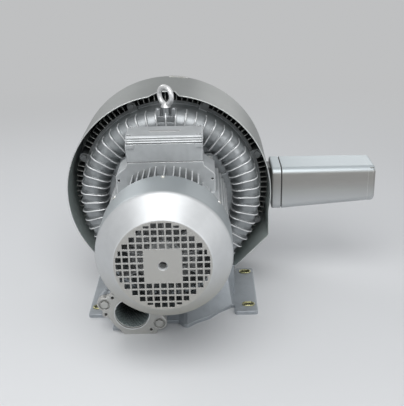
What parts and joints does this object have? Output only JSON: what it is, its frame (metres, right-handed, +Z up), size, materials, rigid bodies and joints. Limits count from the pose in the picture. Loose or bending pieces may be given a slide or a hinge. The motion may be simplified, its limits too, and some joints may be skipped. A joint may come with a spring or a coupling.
{
  "type": "side channel aeration blower",
  "caption": "Motor-driven side channel blower on a cast base, with a ribbed casing, sheet shroud, fan cowl, terminal box, lifting eye, front inlet and side silencer.",
  "frame": {"origin": "on the ground in the middle of the four foot slots", "axes": "+Z up, +Y away from the fan cowl along the shaft, +X towards the side silencer"},
  "size_m": [0.7995, 0.6006, 0.57],
  "materials": {
    "cast_casing": "cast, silver painted",
    "base_paint": "cast, grey paint",
    "frame_paint": "silver grey paint",
    "cowl_paint": "silver paint, satin",
    "shroud_paint": "grey paint on sheet",
    "silencer_paint": "silver paint, satin",
    "zinc": "zinc plated",
    "eye_steel": "forged, zinc plated",
    "plain_steel": "machined",
    "bearing_steel": "ground",
    "core_sheet": "stacked sheet",
    "winding": "varnished copper",
    "impeller_metal": "cast",
    "cage_metal": "cast",
    "fan_plastic": "moulded grey",
    "terminal_plastic": "moulded black",
    "stud_brass": "plain",
    "rubber": "black",
    "gasket": "fibre sheet",
    "foam": "open cell foam",
    "liner_metal": "perforated sheet",
    "plate": "plain plate"
  },
  "bodies": {
    "blower": {"base_foot": "base_paint", "base_bolts": "zinc", "inlet_flange": "frame_paint", "inlet_gaskets": "gasket", "inlet_bolts": "frame_paint", "inlet_liner": "liner_metal", "inlet_foam": "foam", "front_casing": "cast_casing", "middle_casing": "cast_casing", "rear_casing": "cast_casing", "casing_bolts": "frame_paint", "casing_seals": "rubber", "eye_bolt": "eye_steel", "shaft_seals": "rubber", "shroud": "shroud_paint", "shroud_clips": "zinc", "shroud_foam": "foam", "shroud_standoffs": "plain_steel", "shroud_screws": "zinc", "motor_frame": "frame_paint", "drive_shield": "cast_casing", "fan_shield": "cast_casing", "shield_bolts": "zinc", "stator_core": "core_sheet", "stator_windings": "winding", "drive_bearing_outer": "bearing_steel", "fan_bearing_outer": "bearing_steel", "preload_spring": "plain_steel", "fan_cowl": "cowl_paint", "cowl_screws": "zinc", "terminal_box": "frame_paint", "box_seals": "rubber", "terminal_lid": "frame_paint", "box_screws": "zinc", "blank_plate": "plate", "terminal_block": "terminal_plastic", "terminal_studs": "stud_brass", "entry_plug": "frame_paint", "outlet_neck": "silencer_paint", "silencer_seal": "rubber", "silencer_body": "silencer_paint", "silencer_cap": "silencer_paint", "silencer_screws": "zinc", "silencer_liner": "liner_metal", "silencer_foam": "foam"},
    "rotor": {"motor_shaft": "plain_steel", "rotor_core": "core_sheet", "rotor_cage": "cage_metal", "front_impeller": "impeller_metal", "rear_impeller": "impeller_metal", "shaft_spacers": "plain_steel", "impeller_key": "plain_steel", "end_washer": "plain_steel", "end_bolt": "zinc", "drive_bearing_inner": "bearing_steel", "fan_bearing_inner": "bearing_steel", "cooling_fan": "fan_plastic", "fan_circlip": "plain_steel"},
    "drive_balls": {"drive_bearing_balls": "bearing_steel"},
    "fan_balls": {"fan_bearing_balls": "bearing_steel"}
  },
  "joints": [
    {"name": "rotor_spin", "type": "hinge", "parent": "blower", "child": "rotor", "pos_m": [0, 0, 0.28], "axis": [0, 1, 0], "continuous": true},
    {"name": "drive_balls_orbit", "type": "hinge", "parent": "blower", "child": "drive_balls", "pos_m": [0, 0, 0.28], "axis": [0, 1, 0], "continuous": true},
    {"name": "fan_balls_orbit", "type": "hinge", "parent": "blower", "child": "fan_balls", "pos_m": [0, 0, 0.28], "axis": [0, 1, 0], "continuous": true}
  ],
  "couplings": [
    {"joint": "drive_balls_orbit", "follows": "rotor_spin", "ratio": 0.3828},
    {"joint": "fan_balls_orbit", "follows": "rotor_spin", "ratio": 0.4}
  ]
}
